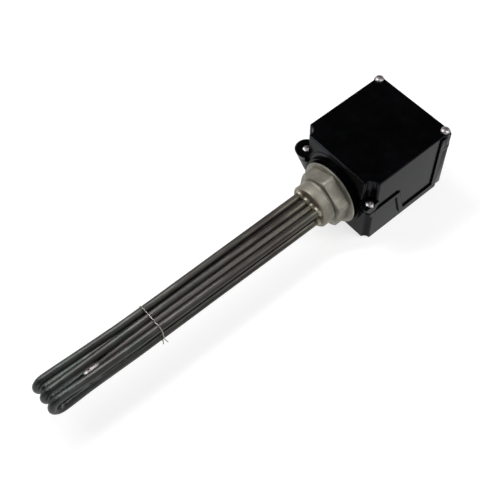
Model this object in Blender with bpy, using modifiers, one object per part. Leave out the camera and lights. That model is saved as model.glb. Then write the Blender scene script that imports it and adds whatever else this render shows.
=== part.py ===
"""Screw-in immersion heater: three hairpin heating elements and a sensor pocket brazed into a
hexagon screw plug, with a two-part moulded terminal box behind it.

Frame: X runs along the plug's axis from the element bends to the box, Y across, Z up.
The origin is on that axis, in the plane where the plug's hexagon seats on the tank's boss.
Metres.
"""
import math

import bmesh
import bpy
from mathutils import Matrix, Vector

MM = 0.001

# Clearances between pieces that touch on the real object
FIT_GAP = 0.3 * MM
BRAZE_GAP = 0.12 * MM
SLIDE_GAP = 0.35 * MM

# Screw plug
THREAD_DIAMETER = 46.3 * MM
THREAD_LENGTH = 13.0 * MM
THREAD_CHAMFER = 1.6 * MM
HEX_ACROSS_FLATS = 53.0 * MM
HEX_LENGTH = 13.6 * MM
HEX_TURN = 8.0
HEX_FACE_DIAMETER = HEX_ACROSS_FLATS * 1.065
COLLAR_DIAMETER = HEX_ACROSS_FLATS * 1.29
COLLAR_THICKNESS = 1.6 * MM
SPIGOT_DIAMETER = 42.0 * MM
SPIGOT_END_ALLOWANCE = 2.4 * MM

# Flat gasket between the plug's collar and the box, and the ring nut inside the box
PLUG_GASKET_THICKNESS = 1.6 * MM
PLUG_GASKET_DIAMETER = 62.0 * MM
RING_NUT_THICKNESS = 5.5 * MM
RING_NUT_WIDTH = 7.0 * MM
RING_NUT_DIAMETER = SPIGOT_DIAMETER + 2 * RING_NUT_WIDTH
RING_NUT_SLOTS = 6
RING_NUT_SLOT_WIDTH = 6.0 * MM
RING_NUT_SLOT_DEPTH = RING_NUT_WIDTH * 0.37

# Heating elements
SHEATH_DIAMETER = 8.2 * MM
ELEMENT_REACH = 320.0 * MM
LEG_SPACING = 15.2 * MM
BEND_SPACINGS = (16.6 * MM, 15.8 * MM, 19.0 * MM)
BEND_BULB_LENGTH = 34.0 * MM
BEND_STEPS = 12
PLUG_PITCHES = (12.4 * MM, 3.0 * MM, -12.0 * MM)
TIE_PITCHES = (12.4 * MM, 3.8 * MM, -10.8 * MM)
TIP_PITCHES = (16.0 * MM, 3.7 * MM, -8.6 * MM)
COLD_END_LENGTH = 9.0 * MM

# Terminals on the element ends
PIN_DIAMETER = 4.0 * MM
PIN_LENGTH = 17.0 * MM
BEAD_DIAMETER = 7.4 * MM
BEAD_LENGTH = 5.0 * MM
NUT_ACROSS_FLATS = 7.0 * MM
NUT_THICKNESS = 3.2 * MM
WASHER_DIAMETER = 9.0 * MM
WASHER_THICKNESS = 0.8 * MM
LINK_WIDTH = 8.5 * MM
LINK_THICKNESS = 1.0 * MM

# Sensor pocket
POCKET_DIAMETER = 5.6 * MM
POCKET_BORE = 4.0 * MM
POCKET_REACH = 272.0 * MM
POCKET_CLOSED_END = 16.0 * MM
POCKET_TAIL = 6.0 * MM
POCKET_AT_PLUG = (-4.5 * MM, 7.6 * MM)
POCKET_AT_TIE = (-3.6 * MM, 7.0 * MM)
POCKET_AT_TIP = (-2.7 * MM, 4.2 * MM)
BULB_DIAMETER = 3.0 * MM
BULB_LENGTH = 70.0 * MM
CAPILLARY_DIAMETER = 1.2 * MM

# Wire tie round the bundle
TIE_POSITION = 203.0 * MM
TIE_WIRE_DIAMETER = 1.0 * MM
TIE_TAIL = 5.0 * MM

# Terminal box
BOX_WIDTH = 95.0 * MM
BOX_DEPTH = 104.3 * MM
BOX_TOP = 48.6 * MM
BOX_BOTTOM = -38.5 * MM
BOX_STANDOFF = 4.6 * MM
WALL = 3.0 * MM
TOP_WALL = 3.0 * MM
FLOOR = 3.4 * MM
BASE_DRAFT = 1.4 * MM
BASE_SIDE_DRAFT = 0.2 * MM
CORNER_RADIUS = 3.0 * MM
TOP_EDGE_RADIUS = 0.9 * MM

# Parting line of the box, seen from the side: front, step, rear
PARTING_FRONT = 9.8 * MM
PARTING_LOW = -25.4 * MM
PARTING_REAR = 30.0 * MM
STEP_TOP_SETBACK = 40.5 * MM
STEP_RUN = 9.0 * MM
REAR_RUN = 13.2 * MM
SEAL_THICKNESS = 1.0 * MM
SEAL_SETBACK = 0.7 * MM
SEAL_WIDTH = 1.5 * MM
RIM_WIDTH = 4.8 * MM
RIM_PROUD = 1.7 * MM
ARCH_CENTRE = 7.6 * MM
ARCH_RADIUS = 38.6 * MM
BOSS_DIAMETER = 73.4 * MM

# Cover screws, their channels, lugs and bosses
SCREW_INSET_FRONT = 3.6 * MM
SCREW_INSET_SIDE = 3.5 * MM
REAR_SCREW_INSET_X = 4.7 * MM
REAR_SCREW_INSET_Y = 3.6 * MM
CHANNEL_RADIUS = 5.5 * MM
CHANNEL_LIP_RADIUS = 2.2 * MM
CHANNEL_FLOOR = 17.6 * MM
LUG_SHOULDER = 19.8 * MM
LUG_TOP = 21.2 * MM
LUG_FLUSH = 1.2 * MM

# The two lugs differ in the photo: a wide round one on the far side, a slim flush one on the near side
LEFT_LUG_FOOT_RADIUS = 8.7 * MM
LEFT_LUG_RADIUS = 11.8 * MM
LEFT_LUG_CROWN_RADIUS = 10.4 * MM
LEFT_BASE_LUG_TAPER = 23.0 * MM
LEFT_BASE_LUG_FOOT = 1.6 * MM
RIGHT_LUG_FOOT_RADIUS = 5.1 * MM
RIGHT_LUG_RADIUS = 9.7 * MM
RIGHT_LUG_CROWN_RADIUS = 8.8 * MM
RIGHT_BASE_LUG_RADIUS = 5.8 * MM
RIGHT_BASE_LUG_TAPER = 4.0 * MM
RIGHT_BASE_LUG_FOOT = 2.5 * MM
CORNER_GROOVE_RADIUS = 6.4 * MM
REAR_BOSS_RADIUS = 5.2 * MM
POST_RADIUS = 6.0 * MM
SCREW_DIAMETER = 4.8 * MM
SCREW_HEAD_DIAMETER = 9.0 * MM
SCREW_HEAD_HEIGHT = 3.0 * MM
SCREW_BITE = 11.0 * MM
SCREW_RECESS = 5.0 * MM

# Cable gland in the rear wall
GLAND_HEIGHT = -8.0 * MM
GLAND_THREAD_DIAMETER = 20.0 * MM
GLAND_HEX = 24.0 * MM
GLAND_HEX_LENGTH = 8.0 * MM
GLAND_BORE = 10.0 * MM
GLAND_COLLET_DIAMETER = 17.0 * MM
GLAND_COLLET_LENGTH = 8.0 * MM
GLAND_CAP_LENGTH = 13.0 * MM
GLAND_CAP_MOUTH = 12.5 * MM
GLAND_NUT_THICKNESS = 5.0 * MM
GLAND_WASHER_THICKNESS = 1.2 * MM
GLAND_INSERT_WALL = 1.6 * MM
GLAND_PAD_RADIUS = 15.5 * MM

# Thermostat on the floor of the box
STAT_LENGTH = 34.0 * MM
STAT_WIDTH = 30.0 * MM
STAT_HEIGHT = 26.0 * MM
STAT_SETBACK = 27.0 * MM
STAT_EDGE = 1.5 * MM
SPINDLE_DIAMETER = 6.0 * MM
SPINDLE_RISE = 9.0 * MM
SPINDLE_DEPTH = 7.0 * MM
SPINDLE_BUSH_DIAMETER = 10.0 * MM
SPINDLE_BUSH_HEIGHT = 3.0 * MM
SPINDLE_SLOT_WIDTH = 1.2 * MM
SPINDLE_SLOT_DEPTH = 1.6 * MM
POINTER_LENGTH = 8.0 * MM
POINTER_THICKNESS = 1.4 * MM
POINTER_WIDTH = 2.4 * MM
BRACKET_THICKNESS = 1.5 * MM
BRACKET_EAR = 9.0 * MM
FLOOR_PAD_RADIUS = 4.2 * MM
FLOOR_PAD_HEIGHT = 5.0 * MM
SMALL_SCREW_DIAMETER = 3.0 * MM
SMALL_SCREW_HEAD = 5.6 * MM
SMALL_SCREW_HEAD_HEIGHT = 2.0 * MM
SMALL_SCREW_LENGTH = 6.0 * MM

# Earth stud on the plug's rear face
EARTH_STUD_DIAMETER = 5.0 * MM
EARTH_STUD_LENGTH = 14.0 * MM
EARTH_STUD_DEPTH = 6.0 * MM
EARTH_STUD_PLACE = (0.0, -16.0 * MM)
EARTH_NUT_ACROSS_FLATS = 8.0 * MM

# Smoothness
ROUND_STEPS = 52
SMALL_STEPS = 20
HOLE_STEPS = 16
INNER_STEPS = 14
SHEATH_RESOLUTION = 5

# Places that follow from the sizes above
COLLAR_REAR = HEX_LENGTH + COLLAR_THICKNESS
GASKET_FRONT = COLLAR_REAR + FIT_GAP
GASKET_REAR = GASKET_FRONT + PLUG_GASKET_THICKNESS
BOSS_FRONT = GASKET_REAR + FIT_GAP
BOX_FRONT = COLLAR_REAR + BOX_STANDOFF
BOX_REAR = BOX_FRONT + BOX_DEPTH
HALF_WIDTH = BOX_WIDTH / 2
WALL_INSIDE = BOX_FRONT + WALL
RING_NUT_FRONT = WALL_INSIDE + FIT_GAP
RING_NUT_REAR = RING_NUT_FRONT + RING_NUT_THICKNESS
PLUG_REAR = RING_NUT_REAR + SPIGOT_END_ALLOWANCE
SHEATH_END = PLUG_REAR + COLD_END_LENGTH
FLOOR_TOP = BOX_BOTTOM + FLOOR
PARTING_GAP = SEAL_THICKNESS + 2 * FIT_GAP
SHEATH_RADIUS = SHEATH_DIAMETER / 2
SCREW_X = BOX_FRONT + SCREW_INSET_FRONT
SCREW_Y = HALF_WIDTH - SCREW_INSET_SIDE
REAR_SCREW_X = BOX_REAR - REAR_SCREW_INSET_X
REAR_SCREW_Y = HALF_WIDTH - REAR_SCREW_INSET_Y
STEP_TOP = BOX_FRONT + STEP_TOP_SETBACK
STEP_LOW = STEP_TOP + STEP_RUN
REAR_STEP = BOX_REAR - REAR_RUN
OVERSHOOT = 20.0 * MM


def clear_scene():
    for thing in list(bpy.data.objects):
        bpy.data.objects.remove(thing, do_unlink=True)
    for group in list(bpy.data.collections):
        bpy.data.collections.remove(group)


clear_scene()
PARTS = bpy.data.collections.new("immersion_heater")
CUTTERS = bpy.data.collections.new("cutters")
bpy.context.scene.collection.children.link(PARTS)
bpy.context.scene.collection.children.link(CUTTERS)


def material(name, colour, roughness, metallic):
    made = bpy.data.materials.new(name)
    made.use_nodes = True
    shader = made.node_tree.nodes["Principled BSDF"]
    shader.inputs["Base Color"].default_value = (*colour, 1.0)
    shader.inputs["Roughness"].default_value = roughness
    shader.inputs["Metallic"].default_value = metallic
    return made


BLACK_MOULDING = ((0.012, 0.012, 0.013), 0.22, 0.0)
NICKEL = ((0.42, 0.40, 0.36), 0.38, 1.0)
SHEATH = ((0.17, 0.17, 0.16), 0.42, 1.0)
ZINC = ((0.62, 0.63, 0.64), 0.30, 1.0)
BRASS = ((0.60, 0.44, 0.19), 0.35, 1.0)
COPPER = ((0.62, 0.30, 0.18), 0.35, 1.0)
CERAMIC = ((0.72, 0.70, 0.64), 0.60, 0.0)
RUBBER = ((0.03, 0.027, 0.025), 0.75, 0.0)
GREY_PLASTIC = ((0.16, 0.16, 0.17), 0.45, 0.0)


def finish(thing, look, smooth_angle=35.0):
    """Link a part, give it its own material and smooth its round faces."""
    colour, roughness, metallic = look
    thing.data.materials.clear()
    thing.data.materials.append(material(thing.name + "_finish", colour, roughness, metallic))
    if thing.type == "MESH":
        thing.data.shade_smooth()
        thing.data.set_sharp_from_angle(angle=math.radians(smooth_angle))
    PARTS.objects.link(thing)
    return thing


def as_cutter(thing):
    """A guide for a Boolean: kept out of the part."""
    thing.hide_render = True
    thing.display_type = "WIRE"
    CUTTERS.objects.link(thing)
    return thing


def from_bmesh(name, shape):
    mesh = bpy.data.meshes.new(name)
    shape.to_mesh(mesh)
    shape.free()
    return bpy.data.objects.new(name, mesh)


def block(name, low, high):
    """A box between two corners."""
    shape = bmesh.new()
    bmesh.ops.create_cube(shape, size=1.0)
    low, high = Vector(low), Vector(high)
    bmesh.ops.scale(shape, vec=high - low, verts=shape.verts)
    bmesh.ops.translate(shape, vec=(low + high) / 2, verts=shape.verts)
    return from_bmesh(name, shape)


def moulded_block(low, high, upright_radius, top_radius=0.0, draft=(0.0, 0.0), name="moulded"):
    """A box with rounded upright edges, an optional rounded top and a bottom drawn in by its drafts."""
    shape = bmesh.new()
    bmesh.ops.create_cube(shape, size=1.0)
    low, high = Vector(low), Vector(high)
    bmesh.ops.scale(shape, vec=high - low, verts=shape.verts)
    bmesh.ops.translate(shape, vec=(low + high) / 2, verts=shape.verts)
    middle = (low + high) / 2
    for vert in shape.verts:
        if vert.co.z < middle.z:
            vert.co.x -= math.copysign(draft[0], vert.co.x - middle.x)
            vert.co.y -= math.copysign(draft[1], vert.co.y - middle.y)
    upright = [e for e in shape.edges if abs(e.verts[0].co.z - e.verts[1].co.z) > (high.z - low.z) / 2]
    bmesh.ops.bevel(shape, geom=upright, offset=upright_radius, segments=4, profile=0.5, affect="EDGES",
                    material=-1)
    if top_radius:
        top = [e for e in shape.edges if all(v.co.z > high.z - top_radius / 10 for v in e.verts)]
        bmesh.ops.bevel(shape, geom=top, offset=top_radius, segments=2, profile=0.5, affect="EDGES",
                        material=-1)
    return from_bmesh(name, shape)


def add_rod(shape, start, end, radius, end_radius=None, steps=SMALL_STEPS):
    start, end = Vector(start), Vector(end)
    along = end - start
    turn = along.to_track_quat("Z", "Y").to_matrix().to_4x4()
    bmesh.ops.create_cone(shape, cap_ends=True, segments=steps, radius1=radius,
                          radius2=radius if end_radius is None else end_radius, depth=along.length,
                          matrix=Matrix.Translation((start + end) / 2) @ turn)


def rod(name, start, end, radius, end_radius=None, steps=SMALL_STEPS):
    """A round bar or a cone between two points."""
    shape = bmesh.new()
    add_rod(shape, start, end, radius, end_radius, steps)
    return from_bmesh(name, shape)


def stacked(name, centre, levels, steps=32):
    """An upright solid of round sections, given as (height, radius) from the bottom up."""
    shape = bmesh.new()
    rings = []
    for height, radius in levels:
        ring = []
        for i in range(steps):
            angle = 2 * math.pi * (i + 0.37) / steps
            ring.append(shape.verts.new((centre[0] + radius * math.cos(angle),
                                         centre[1] + radius * math.sin(angle), height)))
        rings.append(ring)
    for lower, upper in zip(rings, rings[1:]):
        for i in range(steps):
            j = (i + 1) % steps
            shape.faces.new((lower[i], lower[j], upper[j], upper[i]))
    shape.faces.new(list(reversed(rings[0])))
    shape.faces.new(rings[-1])
    return from_bmesh(name, shape)


def turned(name, profile, place=(0, 0, 0), axis="X", steps=ROUND_STEPS, ring=False):
    """A turned piece from its (radius, height) profile, which runs down the outer side."""
    mesh = bpy.data.meshes.new(name)
    points = [(radius, 0.0, height) for radius, height in profile]
    edges = [(i, i + 1) for i in range(len(points) - 1)]
    if ring:
        edges.append((len(points) - 1, 0))
    mesh.from_pydata(points, edges, [])
    thing = bpy.data.objects.new(name, mesh)
    screw = thing.modifiers.new("turn", "SCREW")
    screw.axis = "Z"
    screw.angle = 2 * math.pi
    screw.steps = steps
    screw.render_steps = steps
    screw.use_merge_vertices = True
    screw.merge_threshold = 0.00001
    screw.use_smooth_shade = True
    thing.location = place
    if axis == "X":
        thing.rotation_euler = (0.0, math.pi / 2, 0.0)
    return thing


def prism(name, outline, low, high, axis):
    """A flat outline drawn as a filled curve and extruded between two levels of one axis.

    For axis Y the outline is (x, z), for axis X it is (y, z) and for axis Z it is (x, y).
    """
    curve = bpy.data.curves.new(name + "_outline", "CURVE")
    curve.dimensions = "2D"
    curve.fill_mode = "BOTH"
    curve.extrude = (high - low) / 2
    spline = curve.splines.new("POLY")
    spline.points.add(len(outline) - 1)
    for point, (a, b) in zip(spline.points, outline):
        point.co = (a, b, 0.0, 1.0)
    spline.use_cyclic_u = True
    drawn = bpy.data.objects.new(name + "_outline", curve)
    level = (low + high) / 2
    if axis == "Y":
        drawn.matrix_world = Matrix(((1, 0, 0, 0), (0, 0, -1, level), (0, 1, 0, 0), (0, 0, 0, 1)))
    elif axis == "X":
        drawn.matrix_world = Matrix(((0, 0, 1, level), (1, 0, 0, 0), (0, 1, 0, 0), (0, 0, 0, 1)))
    else:
        drawn.matrix_world = Matrix.Translation((0, 0, level))
    return meshed(name, drawn)


def meshed(name, drawn):
    """Turn a curve object into a mesh object with its caps welded."""
    CUTTERS.objects.link(drawn)
    bpy.context.view_layer.update()
    graph = bpy.context.evaluated_depsgraph_get()
    mesh = bpy.data.meshes.new_from_object(drawn.evaluated_get(graph))
    shape = bmesh.new()
    shape.from_mesh(mesh)
    bmesh.ops.remove_doubles(shape, verts=shape.verts, dist=0.000001)
    bmesh.ops.recalc_face_normals(shape, faces=shape.faces)
    shape.to_mesh(mesh)
    shape.free()
    made = bpy.data.objects.new(name, mesh)
    made.matrix_world = drawn.matrix_world
    bpy.data.objects.remove(drawn, do_unlink=True)
    return made


def tube_curve(name, points, radius, resolution, swell=None):
    """A round tube along a chain of points; swell scales its radius point by point."""
    curve = bpy.data.curves.new(name, "CURVE")
    curve.dimensions = "3D"
    curve.bevel_depth = radius
    curve.bevel_resolution = resolution
    curve.use_fill_caps = True
    spline = curve.splines.new("POLY")
    spline.points.add(len(points) - 1)
    for i, place in enumerate(points):
        spline.points[i].co = (*place, 1.0)
        spline.points[i].radius = swell[i] if swell else 1.0
    return bpy.data.objects.new(name, curve)


def combine(thing, other, operation):
    modifier = thing.modifiers.new(operation.lower(), "BOOLEAN")
    modifier.operation = operation
    modifier.solver = "EXACT"
    modifier.object = other
    return thing


def cut(thing, *others):
    for other in others:
        combine(thing, other, "DIFFERENCE")
    return thing


def join(thing, *others):
    for other in others:
        combine(thing, other, "UNION")
    return thing


def keep_common(thing, other):
    return combine(thing, other, "INTERSECT")


def hexagon_prism(name, across_flats, low, high, centre, axis, turn=0.0):
    corner = across_flats / math.sqrt(3)
    outline = []
    for i in range(6):
        angle = turn + i * math.pi / 3
        outline.append((centre[0] + corner * math.cos(angle), centre[1] + corner * math.sin(angle)))
    return prism(name, outline, low, high, axis)


SIDES = ((-1, "right"), (1, "left"))


# The elements

def blend(a, b, share):
    return a + (b - a) * share


def eased(share):
    share = min(max(share, 0.0), 1.0)
    return share * share * (3 - 2 * share)


def follow(at_plug, at_tie, at_tip, x):
    """A sideways place along the bundle: plug to tie, then tie to tips."""
    tie = -TIE_POSITION
    tips = -ELEMENT_REACH
    start = -THREAD_LENGTH
    if x >= tie:
        return blend(at_plug, at_tie, eased((start - x) / (start - tie)))
    return blend(at_tie, at_tip, eased((tie - x) / (tie - tips)))


def leg_stations(bend):
    """Places along a leg from its cold end to where the return bend starts."""
    bend_start = -ELEMENT_REACH + SHEATH_RADIUS + bend / 2
    bulb_start = bend_start + BEND_BULB_LENGTH
    stations = [SHEATH_END, -THREAD_LENGTH]
    runs = 6
    for i in range(1, runs + 1):
        stations.append(blend(-THREAD_LENGTH, bulb_start, i / runs))
    steps = 4
    for i in range(1, steps + 1):
        stations.append(blend(bulb_start, bend_start, i / steps))
    return stations, bulb_start, bend_start


def hairpin_path(number):
    """The centre line of one hairpin: out along the upper leg, round the bend, back below."""
    width = BEND_SPACINGS[number]
    stations, bulb_start, bend_start = leg_stations(width)
    pitches = (PLUG_PITCHES[number], TIE_PITCHES[number], TIP_PITCHES[number])

    def leg(x, side):
        spread = eased((bulb_start - x) / (bulb_start - bend_start))
        half = blend(LEG_SPACING, width, spread) / 2
        return (x, follow(*pitches, x), side * half)

    upper = [leg(x, 1) for x in stations]
    lower = [leg(x, -1) for x in reversed(stations)]
    bend = []
    for i in range(1, BEND_STEPS):
        angle = math.pi * i / BEND_STEPS
        x = bend_start - width / 2 * math.sin(angle)
        bend.append((x, follow(*pitches, x), width / 2 * math.cos(angle)))
    return upper + bend + lower


def make_elements():
    for number in range(3):
        name = f"heating_element_{number + 1}"
        line = tube_curve(name + "_line", hairpin_path(number), SHEATH_RADIUS, SHEATH_RESOLUTION)
        finish(meshed(name, line), SHEATH)


def pocket_centre(x):
    """The sensor pocket's centre line, straight in the plug and drawn between the legs outside it."""
    tips = -POCKET_REACH
    tie = -TIE_POSITION
    start = -THREAD_LENGTH
    if x >= start:
        return POCKET_AT_PLUG
    if x >= tie:
        share = eased((start - x) / (start - tie))
        ends = (POCKET_AT_PLUG, POCKET_AT_TIE)
    else:
        share = eased((tie - x) / (tie - tips))
        ends = (POCKET_AT_TIE, POCKET_AT_TIP)
    return tuple(blend(a, b, share) for a, b in zip(*ends))


def pocket_points(start, end, count):
    points = []
    for i in range(count + 1):
        x = blend(start, end, i / count)
        points.append((x, *pocket_centre(x)))
    return points


def make_pocket():
    """A thin tube, open in the box and crimped shut with a bead at its tip."""
    outer_end = -POCKET_REACH
    crimp_start = outer_end + 7.0 * MM
    points = pocket_points(PLUG_REAR + POCKET_TAIL, crimp_start, 10)
    swell = [1.0] * len(points)
    for back, size in ((5.6, 0.72), (3.4, 0.62), (2.6, 0.92), (1.0, 0.92), (0.0, 0.4)):
        x = outer_end + back * MM
        points.append((x, *pocket_centre(x)))
        swell.append(size)
    outer = meshed("sensor_pocket", tube_curve("pocket_outer", points, POCKET_DIAMETER / 2, 4, swell))
    bore_start = PLUG_REAR + POCKET_TAIL + OVERSHOOT
    bore = pocket_points(bore_start, outer_end + POCKET_CLOSED_END, 12)
    inner = meshed("pocket_bore", tube_curve("bore_line", bore, POCKET_BORE / 2, 4))
    cut(outer, as_cutter(inner))
    finish(outer, NICKEL)


def make_plug():
    radius = THREAD_DIAMETER / 2
    corner = HEX_ACROSS_FLATS / math.sqrt(3)
    collar = COLLAR_DIAMETER / 2
    spigot = SPIGOT_DIAMETER / 2
    edge = 0.6 * MM
    profile = [
        (0.0, PLUG_REAR),
        (spigot - edge, PLUG_REAR),
        (spigot, PLUG_REAR - edge),
        (spigot, COLLAR_REAR),
        (collar - edge, COLLAR_REAR),
        (collar, COLLAR_REAR - edge),
        (collar, HEX_LENGTH + edge),
        (collar - edge, HEX_LENGTH),
        (radius, HEX_LENGTH),
        (radius, -THREAD_LENGTH + THREAD_CHAMFER),
        (radius - THREAD_CHAMFER, -THREAD_LENGTH),
        (0.0, -THREAD_LENGTH),
    ]
    plug = turned("screw_plug", profile)
    hexagon = hexagon_prism("plug_hexagon", HEX_ACROSS_FLATS, -edge, HEX_LENGTH + edge, (0, 0), "X",
                            turn=math.radians(90 + HEX_TURN))
    face = HEX_FACE_DIAMETER / 2
    chamfer = [
        (0.0, HEX_LENGTH + 2 * edge),
        (corner + edge, HEX_LENGTH + 2 * edge),
        (corner + edge, (corner + edge - face) * 0.7),
        (face, 0.0),
        (0.0, 0.0),
    ]
    keep_common(hexagon, as_cutter(turned("hexagon_chamfer", chamfer)))
    join(plug, as_cutter(hexagon))
    front = -THREAD_LENGTH - OVERSHOOT
    ways = [(front, y, side * LEG_SPACING / 2, SHEATH_RADIUS) for y in PLUG_PITCHES for side in (1, -1)]
    ways.append((front, *POCKET_AT_PLUG, POCKET_DIAMETER / 2))
    ways.append((PLUG_REAR - EARTH_STUD_DEPTH - FIT_GAP, *EARTH_STUD_PLACE, EARTH_STUD_DIAMETER / 2))
    holes = bmesh.new()
    for start, y, z, hole_radius in ways:
        add_rod(holes, (start, y, z), (PLUG_REAR + OVERSHOOT, y, z), hole_radius + BRAZE_GAP, steps=HOLE_STEPS)
    cut(plug, as_cutter(from_bmesh("plug_holes", holes)))
    finish(plug, NICKEL)


def make_plug_gasket():
    inner = SPIGOT_DIAMETER / 2 + SLIDE_GAP
    outer = PLUG_GASKET_DIAMETER / 2
    profile = [(outer, GASKET_REAR), (outer, GASKET_FRONT), (inner, GASKET_FRONT), (inner, GASKET_REAR)]
    finish(turned("plug_gasket", profile, ring=True), RUBBER)


def make_ring_nut():
    inner = SPIGOT_DIAMETER / 2 + SLIDE_GAP
    outer = RING_NUT_DIAMETER / 2
    edge = 0.6 * MM
    profile = [
        (inner + edge, RING_NUT_REAR),
        (outer - edge, RING_NUT_REAR),
        (outer, RING_NUT_REAR - edge),
        (outer, RING_NUT_FRONT),
        (inner, RING_NUT_FRONT),
        (inner, RING_NUT_REAR - edge),
    ]
    nut = turned("ring_nut", profile, ring=True)
    for i in range(RING_NUT_SLOTS):
        slot = block(f"ring_nut_slot_{i}",
                     (RING_NUT_FRONT - OVERSHOOT, outer - RING_NUT_SLOT_DEPTH, -RING_NUT_SLOT_WIDTH / 2),
                     (RING_NUT_REAR + OVERSHOOT, outer + OVERSHOOT, RING_NUT_SLOT_WIDTH / 2))
        slot.rotation_euler = (2 * math.pi * i / RING_NUT_SLOTS, 0.0, 0.0)
        cut(nut, as_cutter(slot))
    finish(nut, BRASS)


# Terminals

def pin_places():
    for number in range(3):
        for side, level in ((1, "upper"), (-1, "lower")):
            yield f"{level}_{number + 1}", PLUG_PITCHES[number], side * LEG_SPACING / 2, side


def nut_at(name, across_flats, bore, low, high, centre, look, turn=0.0):
    nut = hexagon_prism(name, across_flats, low, high, centre, "X", turn)
    hole = rod(name + "_bore", (low - OVERSHOOT, *centre), (high + OVERSHOOT, *centre), bore, steps=16)
    cut(nut, as_cutter(hole))
    return finish(nut, look)


def washer_at(name, outer, bore, low, high, centre, look):
    profile = [(outer, high), (outer, low), (bore, low), (bore, high)]
    place = (0.0, centre[0], centre[1])
    return finish(turned(name, profile, place=place, ring=True, steps=INNER_STEPS), look)


def make_terminals():
    bead_start = SHEATH_END + FIT_GAP
    bead_end = bead_start + BEAD_LENGTH
    bore = PIN_DIAMETER / 2 + FIT_GAP
    link_start = bead_end + FIT_GAP
    for label, y, z, side in pin_places():
        pin = rod("terminal_pin_" + label, (bead_start, y, z), (bead_start + PIN_LENGTH, y, z),
                  PIN_DIAMETER / 2, steps=16)
        finish(pin, ZINC)
        bead = [
            (BEAD_DIAMETER / 2 - 0.8 * MM, bead_end),
            (BEAD_DIAMETER / 2, bead_end - 1.2 * MM),
            (BEAD_DIAMETER / 2, bead_start),
            (bore, bead_start),
            (bore, bead_end),
        ]
        finish(turned("insulator_bead_" + label, bead, place=(0, y, z), ring=True, steps=INNER_STEPS),
               CERAMIC)
        if side > 0:
            washer_at("pin_washer_" + label, WASHER_DIAMETER / 2, bore, link_start,
                      link_start + WASHER_THICKNESS, (y, z), ZINC)
            start = link_start + WASHER_THICKNESS + FIT_GAP
        else:
            start = link_start + LINK_THICKNESS + FIT_GAP
        nut_at("pin_nut_" + label, NUT_ACROSS_FLATS, bore, start, start + NUT_THICKNESS, (y, z), BRASS)
    make_star_link(link_start, bore)


def make_star_link(start, bore):
    """The flat bar that joins the three lower pins into the star point."""
    z = -LEG_SPACING / 2
    half = LINK_WIDTH / 2
    outline = []
    arc_steps = 8
    for i in range(arc_steps + 1):
        angle = -math.pi / 2 + math.pi * i / arc_steps
        outline.append((PLUG_PITCHES[0] + half * math.cos(angle), z + half * math.sin(angle)))
    for i in range(arc_steps + 1):
        angle = math.pi / 2 + math.pi * i / arc_steps
        outline.append((PLUG_PITCHES[2] + half * math.cos(angle), z + half * math.sin(angle)))
    link = prism("star_link", outline, start, start + LINK_THICKNESS, "X")
    for number in range(3):
        y = PLUG_PITCHES[number]
        hole = rod(f"link_hole_{number}", (start - OVERSHOOT, y, z), (start + OVERSHOOT, y, z), bore, steps=16)
        cut(link, as_cutter(hole))
    finish(link, BRASS)


def make_earth_stud():
    y, z = EARTH_STUD_PLACE
    radius = EARTH_STUD_DIAMETER / 2
    stud = rod("earth_stud", (PLUG_REAR - EARTH_STUD_DEPTH, y, z),
               (PLUG_REAR - EARTH_STUD_DEPTH + EARTH_STUD_LENGTH + EARTH_STUD_DEPTH, y, z), radius, steps=16)
    finish(stud, BRASS)
    bore = radius + FIT_GAP
    first = PLUG_REAR + FIT_GAP
    nut_at("earth_nut_lower", EARTH_NUT_ACROSS_FLATS, bore, first, first + NUT_THICKNESS, (y, z), BRASS)
    washer = first + NUT_THICKNESS + FIT_GAP
    washer_at("earth_washer", WASHER_DIAMETER / 2, bore, washer, washer + WASHER_THICKNESS, (y, z), ZINC)
    second = washer + WASHER_THICKNESS + FIT_GAP
    nut_at("earth_nut_upper", EARTH_NUT_ACROSS_FLATS, bore, second, second + NUT_THICKNESS, (y, z), BRASS,
           turn=math.pi / 6)


# The terminal box

def parting_outline(grown):
    """The base's share of the side view, in (x, z), grown past the parting line by a distance."""
    lean = STEP_RUN / (PARTING_FRONT - PARTING_LOW)
    shift = grown * math.sqrt(1 + lean * lean)

    def step_x(z):
        return STEP_TOP + (PARTING_FRONT - z) * lean + shift

    front = PARTING_FRONT + grown
    low = PARTING_LOW + grown
    rear = PARTING_REAR + grown
    left = BOX_FRONT - OVERSHOOT
    right = BOX_REAR + OVERSHOOT
    bottom = BOX_BOTTOM - OVERSHOOT
    return [
        (left, bottom),
        (right, bottom),
        (right, rear),
        (REAR_STEP - grown, rear),
        (REAR_STEP - grown, low),
        (step_x(low), low),
        (step_x(front), front),
        (left, front),
    ]


def base_region(name, grown):
    """Everything below the stepped parting line, with the round tab that fills the cover's arch."""
    region = prism(name, parting_outline(grown), -HALF_WIDTH - OVERSHOOT, HALF_WIDTH + OVERSHOOT, "Y")
    tab_radius = ARCH_RADIUS - PARTING_GAP + grown
    tab = rod(name + "_tab", (BOX_FRONT - OVERSHOOT, 0, ARCH_CENTRE),
              (BOX_FRONT + WALL + FIT_GAP + grown, 0, ARCH_CENTRE), tab_radius, steps=72)
    return as_cutter(join(region, as_cutter(tab)))


def corner_posts(name, front_radius, rear_radius, low, high):
    """Upright cylinders round the four cover screws."""
    posts = []
    for side, label in SIDES:
        y = side * SCREW_Y
        if front_radius:
            posts.append(rod(f"{name}_front_{label}", (SCREW_X, y, low), (SCREW_X, y, high), front_radius,
                             steps=32))
        y = side * REAR_SCREW_Y
        if rear_radius:
            posts.append(rod(f"{name}_rear_{label}", (REAR_SCREW_X, y, low), (REAR_SCREW_X, y, high),
                             rear_radius, steps=SMALL_STEPS))
    return [as_cutter(post) for post in posts]


def arc_points(centre, radius, start, end, steps):
    """Points of an arc between two angles in degrees."""
    points = []
    for i in range(steps + 1):
        angle = math.radians(blend(start, end, i / steps))
        points.append((centre[0] + radius * math.cos(angle), centre[1] + radius * math.sin(angle)))
    return points


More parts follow.
